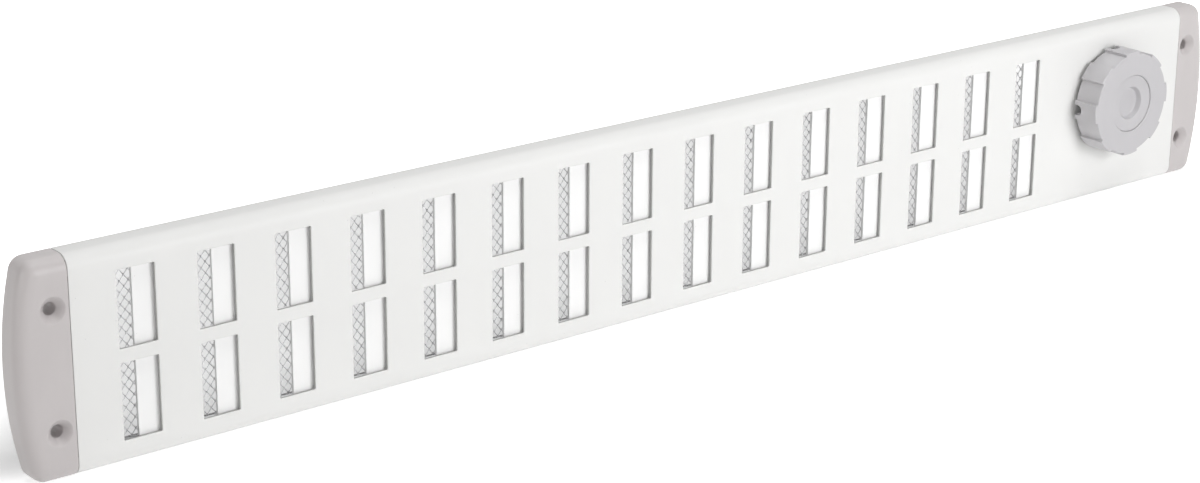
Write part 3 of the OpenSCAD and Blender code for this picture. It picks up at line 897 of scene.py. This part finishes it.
@dataclass
class EndCap:
    """Moulded cap with a bowed outer edge and two countersunk holes."""

    side: int
    start: float = 270.15
    rim: float = 284.5
    bow: float = 138.125
    straight: float = 33.0
    front: float = 11.0
    edge: float = 5.0
    wall: float = 2.0
    lip: float = 0.3
    screw: Pair = (276.0, 21.0)
    bore: float = 2.25
    sink: float = 4.6
    sink_depth: float = 2.6
    brim: Pair = (0.75, 0.7)
    boss: float = 5.8
    boss_end: float = 0.06
    ribs: Triple = (-10.5, 0.0, 10.5)
    rib: Pair = (1.2, 1.5)
    tongue: Triple = (262.0, 23.5, 13.0)
    tongue_levels: Pair = (1.3, 2.8)
    per_side: int = 12
    cell: float = 6.6
    soft: float = 0.35

    def rim_at(self, z: Points) -> Points:
        """Where the flat of the face ends at height z, on the bow's arc."""
        return self.rim - self.bow + np.sqrt(self.bow**2 - z**2)

    def columns(self) -> Points:
        """Shares of the way from the inboard edge to the rim."""
        return np.linspace(0, 1, self.per_side + 1)

    def levels(self) -> Points:
        """Lines of the face's grid, with each screw's cell on lines of its own.

        Returns:
            Their places in z.
        """
        z = self.screw[1]
        part = np.linspace(z - self.cell, z + self.cell, self.per_side + 1)
        middle = np.linspace(-z + self.cell, z - self.cell, 13)[1:-1]
        return np.concatenate([[-self.straight], -part[::-1], middle, part, [self.straight]])

    def path(self, start: float) -> tuple[Points, Points]:
        """Foot of the rounding round the cap, from the lower to the upper inboard corner.

        Args:
            start: Where the face begins in x.

        Returns:
            Points in plan and the outward direction at each.
        """
        top, count = self.straight, 9
        end = float(self.rim_at(np.array(top)))
        across = start + self.columns() * (end - start)
        levels = self.levels()
        corner = np.linspace(-math.pi / 2, -math.asin(top / self.bow), count)
        x = np.concatenate([across, np.full(count, end)])
        lower = np.stack([x, np.full(len(x), -top)], 1)
        tilt = np.concatenate([np.full(len(across), -math.pi / 2), corner])
        base = np.concatenate([lower, np.stack([self.rim_at(levels), levels], 1), (lower * [1, -1])[::-1]])
        angle = np.concatenate([tilt, np.arcsin(levels / self.bow), -tilt[::-1]])
        return base, np.stack([np.cos(angle), np.sin(angle)], 1)

    def rounding(self, radius: float) -> Points:
        """Offset and height of the rows over the rounded edge, from the face outwards."""
        return np.array([[radius * s, self.front - self.edge + radius * c] for s, c in quarter(8)])

    def throat(self) -> float:
        """Radius of the countersink at the rear of the front wall."""
        return self.bore + (self.sink - self.bore) / self.sink_depth * (self.sink_depth - self.wall)

    def face(self, skin: Skin, start: float, height: float, holes: Points) -> None:
        """Adds a flat of the cap with its two holes.

        The flat runs from the start line to the bow's arc, and its grid follows both.

        Args:
            skin: Surface that it joins.
            start: Where the flat begins in x.
            height: Its height over the wall.
            holes: Radius and height of the rows round each hole, from the flat on.
        """
        share, levels = self.columns(), self.levels()
        z = self.screw[1]
        edges = (levels[0], -z - self.cell, self.cell - z, z - self.cell, z + self.cell, levels[-1])
        for low, high in zip(edges[::2], edges[1::2]):
            u, v = np.meshgrid(share, between(levels, low, high), indexing="ij")
            skin.grid(raised(np.stack([start + u * (self.rim_at(v) - start), v], -1), height))
        for side in (-1, 1):
            rim = frame_loop((0, 1), (side * z - self.cell, side * z + self.cell), self.per_side)
            rim[:, 0] = start + rim[:, 0] * (self.rim_at(rim[:, 1]) - start)
            rings = [raised(ring_loop((self.screw[0], side * z), r, 4 * self.per_side), h) for r, h in holes]
            skin.grid([raised(rim, height), *rings], wrap=True)

    def shell(self, skin: Skin) -> None:
        """Adds the outside, the inside and the rear rim.

        Args:
            skin: Surface that they join.
        """
        inner, outer, foot = self.start + self.wall, self.start + self.soft, self.edge - self.wall
        base, out = self.path(outer)
        base_in, _ = self.path(inner)
        outside = np.vstack([self.rounding(self.edge), [self.edge, self.lip], [self.edge - self.lip, 0]])
        inside = np.vstack([[foot, 0], self.rounding(foot)[::-1]])
        rows = [raised(base + out * o, h) for o, h in outside]
        rows += [raised(base_in + out * o, h) for o, h in inside]
        skin.grid(rows)
        throat, low, front = self.throat(), self.front - self.wall, len(outside)
        brim, soft = self.brim
        cone = [(self.sink + brim, self.front, 0), (self.sink, self.front, soft), (throat, low, 0)]
        self.face(skin, outer, self.front, soft_path(cone, steps=5))
        self.face(skin, inner, low, np.array([[throat, low]]))
        levels = self.levels()
        column = np.stack(rows[front:])
        line = raised(upright(inner, levels), low)
        skin.lid(np.concatenate([line, column[::-1, -1], column[:, 0]]))
        column = np.stack(rows[:front])
        line = raised(upright(outer, levels), self.front)
        loop = np.concatenate([line, column[:, -1], column[::-1, 0]])[:, [2, 1]] * [1, -1]
        skin.end(loop, self.start, 1, self.soft)
        skin.lid(np.stack([rows[front - 1][0], rows[front - 1][-1], rows[front][-1], rows[front][0]]))

    def add_boss(self, skin: Skin, side: int) -> None:
        """Adds the upper (1) or the lower (-1) screw boss.

        Args:
            skin: Surface that it joins.
            side: Which boss.
        """
        low = self.front - self.wall
        corners = [
            (self.throat(), low, 0), (self.bore, self.front - self.sink_depth, 0.2),
            (self.bore, self.boss_end, 0.2), (self.boss, self.boss_end, 0.3), (self.boss, low, 0),
        ]
        rows = soft_path(corners, steps=3)
        centre = (self.screw[0], side * self.screw[1])
        loops = [raised(ring_loop(centre, r, 4 * self.per_side), h) for r, h in np.vstack([rows, rows[:1]])]
        skin.grid(loops, wrap=True)

    def add_rib(self, skin: Skin, z: float) -> None:
        """Adds a rib across the hollow, inside the wall all along its rounding.

        Args:
            skin: Surface that it joins.
            z: Its middle.
        """
        width, low = self.rib
        radius, root = self.edge - self.wall / 2, self.start + self.wall / 2
        end, top = float(self.rim_at(np.array(z))) + radius, self.front - self.wall / 2
        corners = [(root, low, 0.3), (end, low, 0.3), (end, top, radius), (root, top, 0.3)]
        rows = softened(soft_path(corners, steps=6, closed=True), z - width / 2, z + width / 2, 0.15)
        sections = [(ring, np.full(len(ring), level)) for ring, level in rows]
        skin.prism([raised(np.stack([ring[:, 0], level], 1), ring[:, 1]) for ring, level in sections])

    def add_tongue(self, skin: Skin, side: int) -> None:
        """Adds the upper (1) or the lower (-1) tongue, which reaches into the profile.

        Args:
            skin: Surface that it joins.
            side: Which tongue.
        """
        tip, z, half = self.tongue
        root = self.start + self.wall / 2
        loop = slot_loop(((tip + root) / 2, side * z), ((root - tip) / 2, half), 0.6, 8)
        skin.prism([raised(ring, level) for ring, level in softened(loop, *self.tongue_levels, 0.25)])

    def mesh(self) -> Mesh:
        """Builds the cap with its bosses, ribs and tongues.

        Returns:
            Its mesh.
        """
        skin = Skin()
        self.shell(skin)
        for side in (-1, 1):
            self.add_boss(skin, side)
            self.add_tongue(skin, side)
        for z in self.ribs:
            self.add_rib(skin, z)
        if self.side < 0:
            skin.mirror()
        return skin.mesh("end_cap_skin")


@dataclass
class Knob:
    """Round knob with eight grip lobes, and the dimpled cap in its front."""

    axis: Pair = (225.0, 6.3)
    radius: float = 22.8
    lobe: float = 1.1
    lobe_width: float = 8.4
    lobes: int = 8
    turn: float = 3.4
    rear: float = 12.8
    front: float = 24.7
    wall: float = 1.9
    step: float = 0.06
    notch: Pair = (2.35, 1.35)
    bevel: float = 0.5
    soft: float = 0.2
    recess: Pair = (12.3, 20.15)
    web: float = 18.25
    hub: Pair = (6.5, 12.5)
    stem: Pair = (4.0, 7.7)
    tang: Pair = (4.4, 5.91)
    screw: float = 1.55
    screw_head: Pair = (3.2, 2.6)
    disc: Pair = (12.2, 24.25)
    disc_wall: Triple = (1.2, 1.4, 1.0)
    disc_gap: float = 0.05
    dimple: Triple = (7.1, 23.75, 21.55)
    dimple_slope: float = 0.9
    around: int = 128

    def lobe_angles(self) -> Pair:
        """Angle from lobe to lobe, and the angle from a lobe's middle to its edge."""
        return 2 * math.pi / self.lobes, math.asin(self.lobe_width / 2 / self.radius)

    def angles(self) -> Points:
        """Directions of the outline's points, close together where a lobe steps up or down.

        Further points lie along the rim notches, close together at their round ends.

        Returns:
            The directions, in order.
        """
        pitch, edge = self.lobe_angles()
        step = self.step / self.radius
        half = np.concatenate([
            np.linspace(0, edge - step, 8)[:-1],
            np.linspace(edge - step, edge + step, 11),
            np.linspace(edge + step, pitch / 2, 8)[1:],
        ])
        period = np.concatenate([-half[:0:-1], half[:-1]])
        lobes = (np.arange(self.lobes)[:, None] * pitch + period[None, :]).reshape(-1)
        notch = math.asin(self.notch[0] / self.radius)
        share = np.sin(np.linspace(-math.pi / 2, math.pi / 2, 25))
        share = np.concatenate([[-1.004], share, [1.004]])
        quarters = (np.arange(4)[:, None] * math.pi / 2 + share * notch).reshape(-1)
        return np.unique((np.concatenate([lobes, quarters]) % (2 * math.pi)).round(9))

    def outline(self, angle: Points) -> Points:
        """Radius over the lobes: the skirt's radius plus a smooth step of the lobe's height.

        Args:
            angle: Directions round the axis.

        Returns:
            Radius at each direction.
        """
        pitch, edge = self.lobe_angles()
        away = np.abs((angle + pitch / 2) % pitch - pitch / 2)
        share = np.clip((edge - away) / (self.step / self.radius) * 0.5 + 0.5, 0, 1)
        return self.radius - self.lobe + self.lobe * share**2 * (3 - 2 * share)

    def rim_lift(self, angle: Points) -> Points:
        """Depth of the rim notches at each direction.

        Inside a notch it is the straight length plus the root of r squared minus s
        squared, s being the distance from the notch's middle line.

        Args:
            angle: Directions round the axis.

        Returns:
            Depth at each direction, 0 between the notches.
        """
        off = (angle + math.pi / 4) % (math.pi / 2) - math.pi / 4
        radius, straight = self.notch
        rest = radius**2 - (self.radius * np.sin(off)) ** 2
        return np.where(rest > -1e-6, straight + np.sqrt(np.clip(rest, 0, None)), 0.0)

    def turned(self, rows: list[Points | tuple], angle: Points) -> list[Points]:
        """Places rows of radius and height round the knob's axis.

        Args:
            rows: Radius and height of each row, as numbers or for each direction.
            angle: The directions.

        Returns:
            Points of each row.
        """
        cos, sin = np.cos(angle), np.sin(angle)
        x, z = self.axis
        return [raised(np.stack([x + r * cos, z + r * sin], 1), h) for r, h in rows]

    def add_webs(self, skin: Skin, skirt: float) -> None:
        """Adds the webs between the hub and the skirt.

        Args:
            skin: Surface that they join.
            skirt: Inner radius of the skirt.
        """
        hub = self.hub[0]
        loop = slot_loop(((hub + skirt) / 2, 0.0), ((skirt - hub) / 2 + 0.5, 0.6), 0.2, 8)
        pile = softened(loop, self.rear + 2.5, self.web + 0.5, 0.15)
        for turn in (np.arange(self.lobes) + 0.5) * 2 * math.pi / self.lobes + math.radians(self.turn):
            axes = np.array([[math.cos(turn), math.sin(turn)], [-math.sin(turn), math.cos(turn)]])
            skin.prism([raised(ring @ axes + self.axis, level) for ring, level in pile])

    def body_mesh(self) -> Mesh:
        """Builds the knob as rows of radius and height round its axis.

        Returns:
            Its mesh.
        """
        angle = self.angles()
        outer, lift = self.outline(angle), self.rim_lift(angle)
        skirt, soft, bevel = self.radius - self.lobe - self.wall, self.soft, self.bevel
        square = self.tang[0] / 2 / np.maximum(np.abs(np.cos(angle)), np.abs(np.sin(angle)))
        stem, hub, (rim, floor), (head, sunk) = self.stem, self.hub, self.recess, self.screw_head
        rows = [(self.screw, self.tang[1]), (square, self.tang[1]), (square, stem[1])]
        rows += list(soft_path([
            (square.max() * 0.75, stem[1], 0), (stem[0], stem[1], soft), (stem[0], hub[1], soft),
            (hub[0], hub[1], 0.3), (hub[0], self.web, 0.6),
            (skirt, self.web, 0.6), (skirt, self.web - 1.2, 0),
        ]))
        bend = quarter(3)
        rows += [(skirt + soft * (1 - c), self.rear + soft * (1 - s) + lift) for s, c in bend]
        rows += [(outer - soft * (1 - s), self.rear + soft * (1 - c) + lift) for s, c in bend]
        rows += [(outer, self.rear + sum(self.notch) + 0.8), (outer, self.front - bevel - 0.4)]
        rows += [(outer - bevel * (1 - c), self.front - bevel * (1 - s)) for s, c in quarter(6)]
        rows.append((outer - bevel - 0.35, self.front))
        rows += list(soft_path([
            (self.radius - self.lobe - 1.6, self.front, 0), (rim + 0.8, self.front, 0),
            (rim, self.front, 0.3), (rim, floor, 0.2), (head, floor, 0.15), (head, floor - sunk, 0.1),
            (self.screw, floor - sunk, 0.1), (self.screw, self.tang[1], 0),
        ]))
        skin = Skin()
        skin.grid(self.turned(rows, angle + math.radians(self.turn)), wrap=True)
        self.add_webs(skin, skirt)
        return skin.mesh("knob_body_skin")

    def disc_mesh(self) -> Mesh:
        """Builds the cap: a lathe round the axis with a soft dimple.

        Returns:
            Its mesh.
        """
        edge, front = self.disc
        rim, level, floor = self.dimple
        side, plate, core = self.disc_wall
        rear = self.recess[1] + self.disc_gap
        rows = [
            (0.0, floor, 0), (rim - self.dimple_slope, floor, 0.7), (rim, level, 0.25), (edge, front, 0.3),
            (edge, rear, 0.15), (edge - side, rear, 0.15), (edge - side, front - plate, 0.3),
            (rim + core, level - plate, 0.3), (rim + core, floor - core, 0.3), (0.0, floor - core, 0),
        ]
        angle = np.arange(self.around) * 2 * math.pi / self.around
        skin = Skin()
        skin.grid(self.turned(list(soft_path(rows, steps=6)), angle), wrap=True)
        return skin.mesh("knob_disc_skin")


@dataclass
class InsectMesh:
    """Diamond net: two layers of strands, fused at their crossings, in a flat edge."""

    x: Pair = (-269.0, 189.95)
    half_height: float = 33.7
    border: float = 3.0
    cell: Pair = (3.2, 4.0)
    strand: Pair = (0.4, 0.32)
    layer: float = 0.17
    shortest: float = 2.0
    knot: Triple = (0.26, 0.3, 0.34)
    height: Pair = (5.95, 6.65)

    def strands(self, lean: int) -> tuple[Points, Points]:
        """Ends and sections of all strands that lean to one side.

        A strand is the line x = c + lean * z * width / height of a cell, cut at the
        border, and its section is a flattened hexagon across it.

        Args:
            lean: 1 or -1.

        Returns:
            Ends (strand, end, xyz) and section offsets (strand, point, xyz).
        """
        width = self.cell[0]
        slope = lean * width / self.cell[1]
        top = self.half_height - self.border / 2
        left, right = self.x[0] + self.border / 2, self.x[1] - self.border / 2
        reach = abs(slope) * self.half_height
        first, last = math.ceil((self.x[0] - reach) / width), math.floor((self.x[1] + reach) / width)
        c = np.arange(first, last + 1) * width
        za, zb = (left - c) / slope, (right - c) / slope
        low, high = np.maximum(-top, np.minimum(za, zb)), np.minimum(top, np.maximum(za, zb))
        keep = high - low > self.shortest
        c, low, high = c[keep], low[keep], high[keep]
        level = self.height[1] - self.layer if lean > 0 else self.height[0] + self.layer
        ends = np.stack([raised(np.stack([c + slope * z, z], 1), level) for z in (low, high)], 1)
        across = np.array([1.0, 0.0, -slope]) / math.hypot(1, slope)
        deep = np.array([0.0, 1.0, 0.0])
        angle = np.arange(6)[:, None] * math.pi / 3
        ring = self.strand[0] / 2 * np.cos(angle) * across + self.strand[1] / 1.75 * np.sin(angle) * deep
        return ends, np.broadcast_to(ring, (len(c), 6, 3))

    def knots(self) -> tuple[Points, Points]:
        """Short bars along z at the crossings, where the strands have fused.

        Returns:
            Ends and section offsets, as for the strands.
        """
        cx, cz = self.cell
        left, right, top = self.x[0] + self.border, self.x[1] - self.border, self.half_height - self.border
        i = np.arange(math.ceil(left / cx * 2), math.floor(right / cx * 2) + 1)
        j = np.arange(math.ceil(-top / cz * 2), math.floor(top / cz * 2) + 1)
        gi, gj = np.meshgrid(i, j, indexing="ij")
        odd = (gi + gj) % 2 == 0
        x, z = gi[odd] * cx / 2, gj[odd] * cz / 2
        wide, deep, long = self.knot
        ends = np.stack([raised(np.stack([x, z + s * long], 1), sum(self.height) / 2) for s in (-1, 1)], 1)
        angle = np.arange(6) * math.pi / 3
        ring = np.stack([wide * np.cos(angle), deep * np.sin(angle), 0 * angle], 1)
        return ends, np.broadcast_to(ring, (len(x), 6, 3))

    def add_edge(self, skin: Skin) -> None:
        """Adds the flat edge round the net.

        Args:
            skin: Surface that it joins.
        """
        low, high = self.height
        w, h = (self.x[1] - self.x[0]) / 2, self.half_height
        corners = [(0, low, 0.1), (0, high, 0.1), (-self.border, high, 0.2), (-self.border, low, 0.2)]
        rows = soft_path(corners, steps=3, closed=True)
        centre = (sum(self.x) / 2, 0.0)
        loops = [raised(slot_loop(centre, (w + o, h + o), 0.5, 8), y) for o, y in np.vstack([rows, rows[:1]])]
        skin.grid(loops, wrap=True)

    def mesh(self) -> Mesh:
        """Builds the net.

        Returns:
            Its mesh.
        """
        skin = Skin()
        for lean in (-1, 1):
            skin.bars(*self.strands(lean))
        skin.bars(*self.knots())
        self.add_edge(skin)
        return skin.mesh("insect_mesh_skin")


@dataclass(frozen=True)
class SoftenedNode:
    """A CAD node whose sharp edges get a small rounding."""

    node: str
    body: Body
    slot: Slot
    radius: float

    def place(self, frame: dict, finishes: Finishes) -> None:
        """Copies the node's mesh, merges it, rounds its edges and stands in for the node.

        Args:
            frame: The loaded frame.
            finishes: Materials by slot.
        """
        mesh = frame["nodes"][self.node].data.copy()
        mesh.name = f"{self.node}_soft"
        mesh.materials.clear()
        shell = bmesh.new()
        shell.from_mesh(mesh)
        bmesh.ops.remove_doubles(shell, verts=shell.verts, dist=1e-6)
        bmesh.ops.dissolve_limit(shell, angle_limit=math.radians(0.5), verts=shell.verts, edges=shell.edges)
        shell.to_mesh(mesh)
        shell.free()
        piece = Piece(f"{self.node}_soft", self.body, self.slot, (self.node,))
        bevel = piece.place(mesh, finishes[self.slot], sharp=30.0).modifiers.new("edge", "BEVEL")
        bevel.width = self.radius * MM
        bevel.segments = 2
        bevel.limit_method = "ANGLE"
        bevel.angle_limit = math.radians(40)
        bevel.use_clamp_overlap = True


@dataclass(frozen=True)
class Lamp:
    """A soft rectangular lamp that looks at the grille."""

    name: str
    place: Triple
    size: Pair
    power: float
    colour: Triple = (1.0, 1.0, 1.0)

    def light(self) -> None:
        """Puts the lamp in the scene."""
        data = bpy.data.lights.new(self.name, "AREA")
        data.shape = "RECTANGLE"
        data.size, data.size_y = self.size
        data.energy = self.power
        data.color = self.colour
        lamp = bpy.data.objects.new(self.name, data)
        lamp.location = self.place
        lamp.rotation_euler = (-Vector(self.place)).to_track_quat("-Z", "Y").to_euler()
        bpy.context.scene.collection.objects.link(lamp)


LAMPS = (
    Lamp("key", (0.28, -0.95, 0.25), (0.46, 0.46), 5.0, (0.995, 0.995, 1.0)),
    Lamp("far_left", (-1.2, -2.4, 0.6), (0.8, 0.8), 7.5, (1.0, 0.99, 0.98)),
    Lamp("left", (-2.0, -0.12, 0.3), (0.4, 0.5), 7.0, (1.0, 0.985, 0.97)),
    Lamp("top", (0.1, -0.45, 1.7), (1.6, 0.8), 14.0),
    Lamp("top_rear", (0.1, 0.9, 1.5), (1.6, 0.8), 9.5),
)


@dataclass
class Studio:
    """Pale floor, white surroundings, soft lamps and the camera."""

    air: float = 0.02
    floor_half: float = 6.0
    floor_level: float = -0.0382
    paper: Pair = (0.71, 0.74)
    glow: float = 0.2
    lift: Pair = (0.5, 1.0)
    # Painted shadow behind the part: share of the camera's lift kept there, and the field's sides and depth.
    shade_lift: float = 0.1
    shade_sides: tuple[Triple, Pair, float] = ((0.88, -0.76, 0.0), (-0.25, 0.175), 0.05)
    shade_depth: tuple[Triple, Pair, float] = ((0.0, 1.0, 0.0), (0.02, 0.173), 0.03)
    near: Pair = (0.2, 0.34)
    place: Triple = (-0.64134, -0.74081, 0.31366)
    aim: Triple = (-0.05391, -0.011, -0.00169)
    lens: float = 80.52
    roll: float = -0.323

    def seen_white(self, tree: Tree) -> Socket:
        """Value that is 1 for rays from the camera, mirrors and glass, and 0 for the rest.

        Args:
            tree: Node tree that it joins.

        Returns:
            The value.
        """
        path = tree.nodes.new("ShaderNodeLightPath").outputs
        mirrored = maths(tree, "MAXIMUM", path["Is Camera Ray"], path["Is Glossy Ray"])
        return maths(tree, "MAXIMUM", mirrored, path["Is Transmission Ray"])

    def world(self) -> None:
        """White surroundings that light the part only faintly."""
        world = bpy.data.worlds.new("studio_air")
        bpy.context.scene.world = world
        world.use_nodes = True
        tree = world.node_tree
        back = tree.nodes["Background"]
        fill(back.inputs["Color"], (1, 1, 1, 1))
        strength = maths(tree, "MULTIPLY_ADD", self.seen_white(tree), 1.0 - self.air, self.air)
        fill(back.inputs["Strength"], strength)

    def floor(self) -> None:
        """Large pale floor, softly lit from within.

        It is lifted to white for the camera, less near the part, and hardly at all
        in a field just behind the part, a painted shadow that gives the net its grey background.
        """
        mesh = bpy.data.meshes.new("floor")
        r, z = self.floor_half, self.floor_level
        mesh.from_pydata([(-r, -r, z), (r, -r, z), (r, r, z), (-r, r, z)], [], [(0, 1, 2, 3)])
        floor = bpy.data.objects.new("floor", mesh)
        bpy.context.scene.collection.objects.link(floor)
        g = Graph("floor_paper")
        dark, pale = self.paper
        # Painted shadow: a soft field behind the part where the camera's lift is mostly left out, so the
        # floor reads grey there.
        behind = g.times(g.band(*self.shade_sides), g.band(*self.shade_depth))
        away = g.along("LENGTH", g.stretched((0.5, 1.0, 0.0), (0.0, -0.15, 0.0)))
        seen = g.times(self.seen_white(g.tree), g.spread(away, self.near, self.lift))
        clear = g.times(seen, g.spread(behind, (0.0, 1.0), (1.0, self.shade_lift)))
        g.set(
            Base_Color=g.tint(g.noise(60.0, 3.0), (dark,) * 3, (pale,) * 3),
            Roughness=0.9,
            Specular_IOR_Level=0.1,
            Emission_Color=(1, 1, 1, 1),
            Emission_Strength=maths(g.tree, "ADD", clear, self.glow),
        )
        mesh.materials.append(g.material)

    def camera(self) -> None:
        """Camera at the photograph's viewpoint, turned slightly about its own axis."""
        data = bpy.data.cameras.new("camera")
        data.lens = self.lens
        data.sensor_width = 36.0
        data.sensor_fit = "HORIZONTAL"
        data.clip_start, data.clip_end = 0.01, 50.0
        camera = bpy.data.objects.new("camera", data)
        bpy.context.scene.collection.objects.link(camera)
        look = (Vector(self.aim) - Vector(self.place)).normalized()
        right = look.cross(Vector((0, 0, 1))).normalized()
        angle = math.radians(self.roll)
        up = right.cross(look) * math.cos(angle) + right * math.sin(angle)
        turn = Matrix((look.cross(up), up, -look)).transposed().to_4x4()
        camera.matrix_world = Matrix.Translation(self.place) @ turn
        bpy.context.scene.camera = camera

    def build(self) -> None:
        """Sets up everything round the part."""
        bpy.context.scene.view_settings.view_transform = "Standard"
        self.world()
        self.floor()
        for lamp in LAMPS:
            lamp.light()
        self.camera()


def main() -> None:
    """Loads the frame, dresses it piece by piece and sets up the studio."""
    logging.basicConfig(level=logging.INFO, format="%(name)s: %(message)s", stream=sys.stdout)
    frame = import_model()
    finishes = Finishes()
    finishes.dress(frame)
    knob = Knob()
    pieces = [
        (Piece("profile_face", Body.FRAME, Slot.ALUMINIUM, ("face_profile",)), FaceProfile().mesh),
        (Piece("left_end_cap_shell", Body.FRAME, Slot.GREY, ("left_end_cap",)), EndCap(-1).mesh),
        (Piece("right_end_cap_shell", Body.FRAME, Slot.GREY, ("right_end_cap",)), EndCap(1).mesh),
        (Piece("knob_grip", Body.KNOB, Slot.KNOB, ("knob_body",)), knob.body_mesh),
        (Piece("knob_front_cap", Body.KNOB, Slot.KNOB, ("knob_disc",)), knob.disc_mesh),
        (Piece("diamond_net", Body.FRAME, Slot.STRAND, ("insect_mesh",)), InsectMesh().mesh),
    ]
    for piece, build in pieces:
        piece.place(build(), finishes[piece.slot])
    softened_nodes = [
        SoftenedNode("shutter_plate", Body.SHUTTER, Slot.WHITE, 0.12),
        SoftenedNode("shutter_rack", Body.SHUTTER, Slot.GEAR, 0.1),
        SoftenedNode("pinion_bridge", Body.FRAME, Slot.BRIDGE, 0.15),
        SoftenedNode("mesh_bead_top", Body.FRAME, Slot.VINYL, 0.25),
        SoftenedNode("mesh_bead_bottom", Body.FRAME, Slot.VINYL, 0.25),
        SoftenedNode("drive_pinion", Body.KNOB, Slot.GEAR, 0.05),
    ]
    for item in softened_nodes:
        item.place(frame, finishes)
    Studio().build()


if __name__ == "__main__":
    main()
